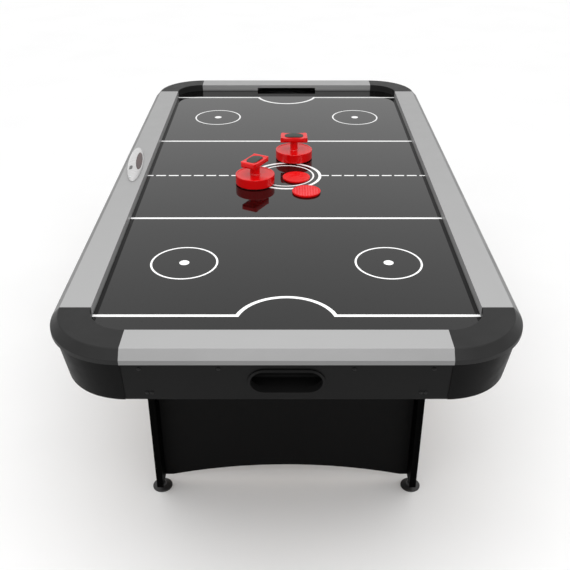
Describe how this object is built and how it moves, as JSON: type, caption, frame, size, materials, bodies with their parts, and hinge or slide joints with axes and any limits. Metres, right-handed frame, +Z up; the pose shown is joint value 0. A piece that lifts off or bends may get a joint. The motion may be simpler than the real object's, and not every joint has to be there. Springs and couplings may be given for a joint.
{
  "type": "air hockey table",
  "caption": "Free-standing air hockey table with rounded corners, goal slots, blower, levelling feet, scorer, pushers and pucks.",
  "frame": {"origin": "on the floor under the middle of the table, which is the bottom centre of its box", "axes": "+X to the right of a player at the near end, +Y towards the far end along the playing field, +Z up"},
  "size_m": [1.1084, 2.133, 0.8404],
  "materials": {
    "field": "high gloss black laminate with white printed lines",
    "rail": "satin silver foil wrapped board",
    "cap": "moulded black, fine texture",
    "shell": "moulded black, satin",
    "apron": "black laminated board",
    "leg": "black laminated board",
    "raw_board": "raw fibreboard",
    "cup": "moulded black",
    "sheet": "black painted sheet",
    "steel": "zinc plated steel",
    "screw": "black oxide",
    "sensor": "moulded black",
    "blower": "moulded black",
    "motor": "grey painted",
    "grille": "moulded black",
    "inlet": "moulded black",
    "rocker": "moulded red",
    "scorer_shell": "pearl white moulding",
    "scorer_lens": "dark red window",
    "scorer_button": "dark grey rubberised",
    "foot": "moulded black nylon",
    "pusher": "bright red moulding",
    "grip": "dark grey soft pad",
    "felt": "black felt",
    "puck": "bright red moulding"
  },
  "bodies": {
    "table": {"playfield": "field", "chamber_floor": "raw_board", "underframe": "raw_board", "goal_sensors": "sensor", "apron_screws": "screw", "left_rail": "rail", "left_apron": "apron", "right_rail": "rail", "right_apron": "apron", "near_rail": "rail", "near_apron": "apron", "near_goal_box": "sheet", "near_return_cup": "cup", "near_leg_panel": "leg", "near_left_corner_cap": "cap", "near_left_corner_shell": "shell", "near_left_leg_post": "leg", "near_right_corner_cap": "cap", "near_right_corner_shell": "shell", "near_right_leg_post": "leg", "far_rail": "rail", "far_apron": "apron", "far_goal_box": "sheet", "far_return_cup": "cup", "far_leg_panel": "leg", "far_left_corner_cap": "cap", "far_left_corner_shell": "shell", "far_left_leg_post": "leg", "far_right_corner_cap": "cap", "far_right_corner_shell": "shell", "far_right_leg_post": "leg", "leg_brackets": "steel", "blower_housing": "blower", "blower_motor": "motor", "blower_grille": "grille", "power_inlet": "inlet", "scorer_base": "scorer_shell", "scorer_shell": "scorer_shell", "scorer_lens": "scorer_lens"},
    "near_left_leveller": {"near_left_leveller_pad": "foot"},
    "near_left_stud": {"near_left_leveller_stud": "steel"},
    "near_right_leveller": {"near_right_leveller_pad": "foot"},
    "near_right_stud": {"near_right_leveller_stud": "steel"},
    "far_left_leveller": {"far_left_leveller_pad": "foot"},
    "far_left_stud": {"far_left_leveller_stud": "steel"},
    "far_right_leveller": {"far_right_leveller_pad": "foot"},
    "far_right_stud": {"far_right_leveller_stud": "steel"},
    "blower_fan": {"blower_wheel": "blower"},
    "power_switch": {"power_rocker": "rocker"},
    "reset_button": {"scorer_button": "scorer_button"},
    "pusher_a": {"pusher_a_base": "pusher", "pusher_a_felt": "felt", "pusher_a_handle": "pusher", "pusher_a_insert": "grip"},
    "pusher_b": {"pusher_b_base": "pusher", "pusher_b_felt": "felt", "pusher_b_handle": "pusher", "pusher_b_insert": "grip"},
    "smooth_puck": {"puck_smooth": "puck"},
    "grid_puck": {"puck_grid": "puck"}
  },
  "joints": [
    {"name": "near_left_leveller_height", "type": "slide", "parent": "table", "child": "near_left_leveller", "axis": [0, 0, -1], "range_m": [0, 0.02]},
    {"name": "near_left_stud_turn", "type": "hinge", "parent": "near_left_leveller", "child": "near_left_stud", "pos_m": [-0.3805, -0.655, 0.02], "axis": [0, 0, -1], "range_deg": [0, 5761]},
    {"name": "near_right_leveller_height", "type": "slide", "parent": "table", "child": "near_right_leveller", "axis": [0, 0, -1], "range_m": [0, 0.02]},
    {"name": "near_right_stud_turn", "type": "hinge", "parent": "near_right_leveller", "child": "near_right_stud", "pos_m": [0.3805, -0.655, 0.02], "axis": [0, 0, -1], "range_deg": [0, 5761]},
    {"name": "far_left_leveller_height", "type": "slide", "parent": "table", "child": "far_left_leveller", "axis": [0, 0, -1], "range_m": [0, 0.02]},
    {"name": "far_left_stud_turn", "type": "hinge", "parent": "far_left_leveller", "child": "far_left_stud", "pos_m": [-0.3805, 0.655, 0.02], "axis": [0, 0, -1], "range_deg": [0, 5761]},
    {"name": "far_right_leveller_height", "type": "slide", "parent": "table", "child": "far_right_leveller", "axis": [0, 0, -1], "range_m": [0, 0.02]},
    {"name": "far_right_stud_turn", "type": "hinge", "parent": "far_right_leveller", "child": "far_right_stud", "pos_m": [0.3805, 0.655, 0.02], "axis": [0, 0, -1], "range_deg": [0, 5761]},
    {"name": "fan_spin", "type": "hinge", "parent": "table", "child": "blower_fan", "pos_m": [0, 0, 0.65], "axis": [0, 0, 1], "continuous": true},
    {"name": "switch_rock", "type": "hinge", "parent": "table", "child": "power_switch", "pos_m": [0.53229, 0.315, 0.69519], "axis": [0, 1, 0], "range_deg": [0, 12]},
    {"name": "reset_press", "type": "slide", "parent": "table", "child": "reset_button", "axis": [0, 0, -1], "range_m": [0, 0.0015], "stiffness_N_per_m": 400, "springref_m": -0.001},
    {"name": "pusher_a_glide", "type": "slide", "parent": "table", "child": "pusher_a", "axis": [0, 1, 0], "range_m": [-0.84, 0]},
    {"name": "pusher_b_glide", "type": "slide", "parent": "table", "child": "pusher_b", "axis": [0, 1, 0], "range_m": [-0.05, 0.74]},
    {"name": "smooth_puck_glide", "type": "slide", "parent": "table", "child": "smooth_puck", "axis": [1, 0, 0], "range_m": [0, 0.375]},
    {"name": "grid_puck_glide", "type": "slide", "parent": "table", "child": "grid_puck", "axis": [0, -1, 0], "range_m": [0, 0.83]}
  ],
  "couplings": [
    {"joint": "near_left_stud_turn", "follows": "near_left_leveller_height", "rad_per_m": 5026.5},
    {"joint": "near_right_stud_turn", "follows": "near_right_leveller_height", "rad_per_m": 5026.5},
    {"joint": "far_left_stud_turn", "follows": "far_left_leveller_height", "rad_per_m": 5026.5},
    {"joint": "far_right_stud_turn", "follows": "far_right_leveller_height", "rad_per_m": 5026.5}
  ]
}
